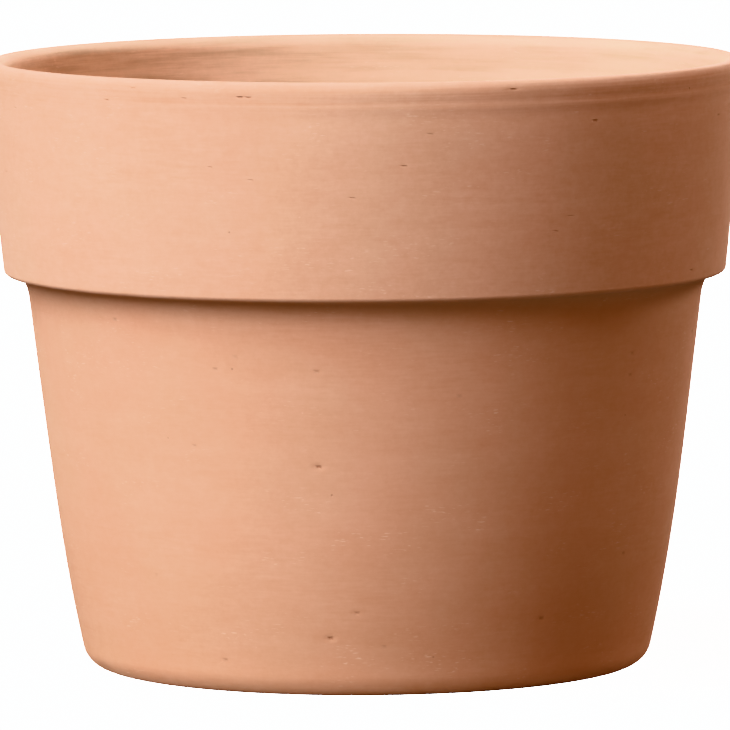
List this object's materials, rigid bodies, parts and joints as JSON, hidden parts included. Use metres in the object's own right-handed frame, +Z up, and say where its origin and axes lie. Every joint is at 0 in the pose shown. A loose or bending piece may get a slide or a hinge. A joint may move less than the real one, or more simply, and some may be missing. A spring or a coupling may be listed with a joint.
{
  "type": "terracotta plant pot",
  "caption": "Squat tapered clay plant pot with a deep overhanging rim band, a rolled lip and a central drainage hole.",
  "frame": {"origin": "centre of the base, on the surface the pot stands on", "axes": "+Z up along the pot's axis of revolution, towards the mouth; X and Y are alike"},
  "size_m": [0.165, 0.165, 0.1334],
  "materials": {
    "terracotta": "matte"
  },
  "bodies": {
    "root": {"pot": "terracotta"}
  },
  "joints": []
}
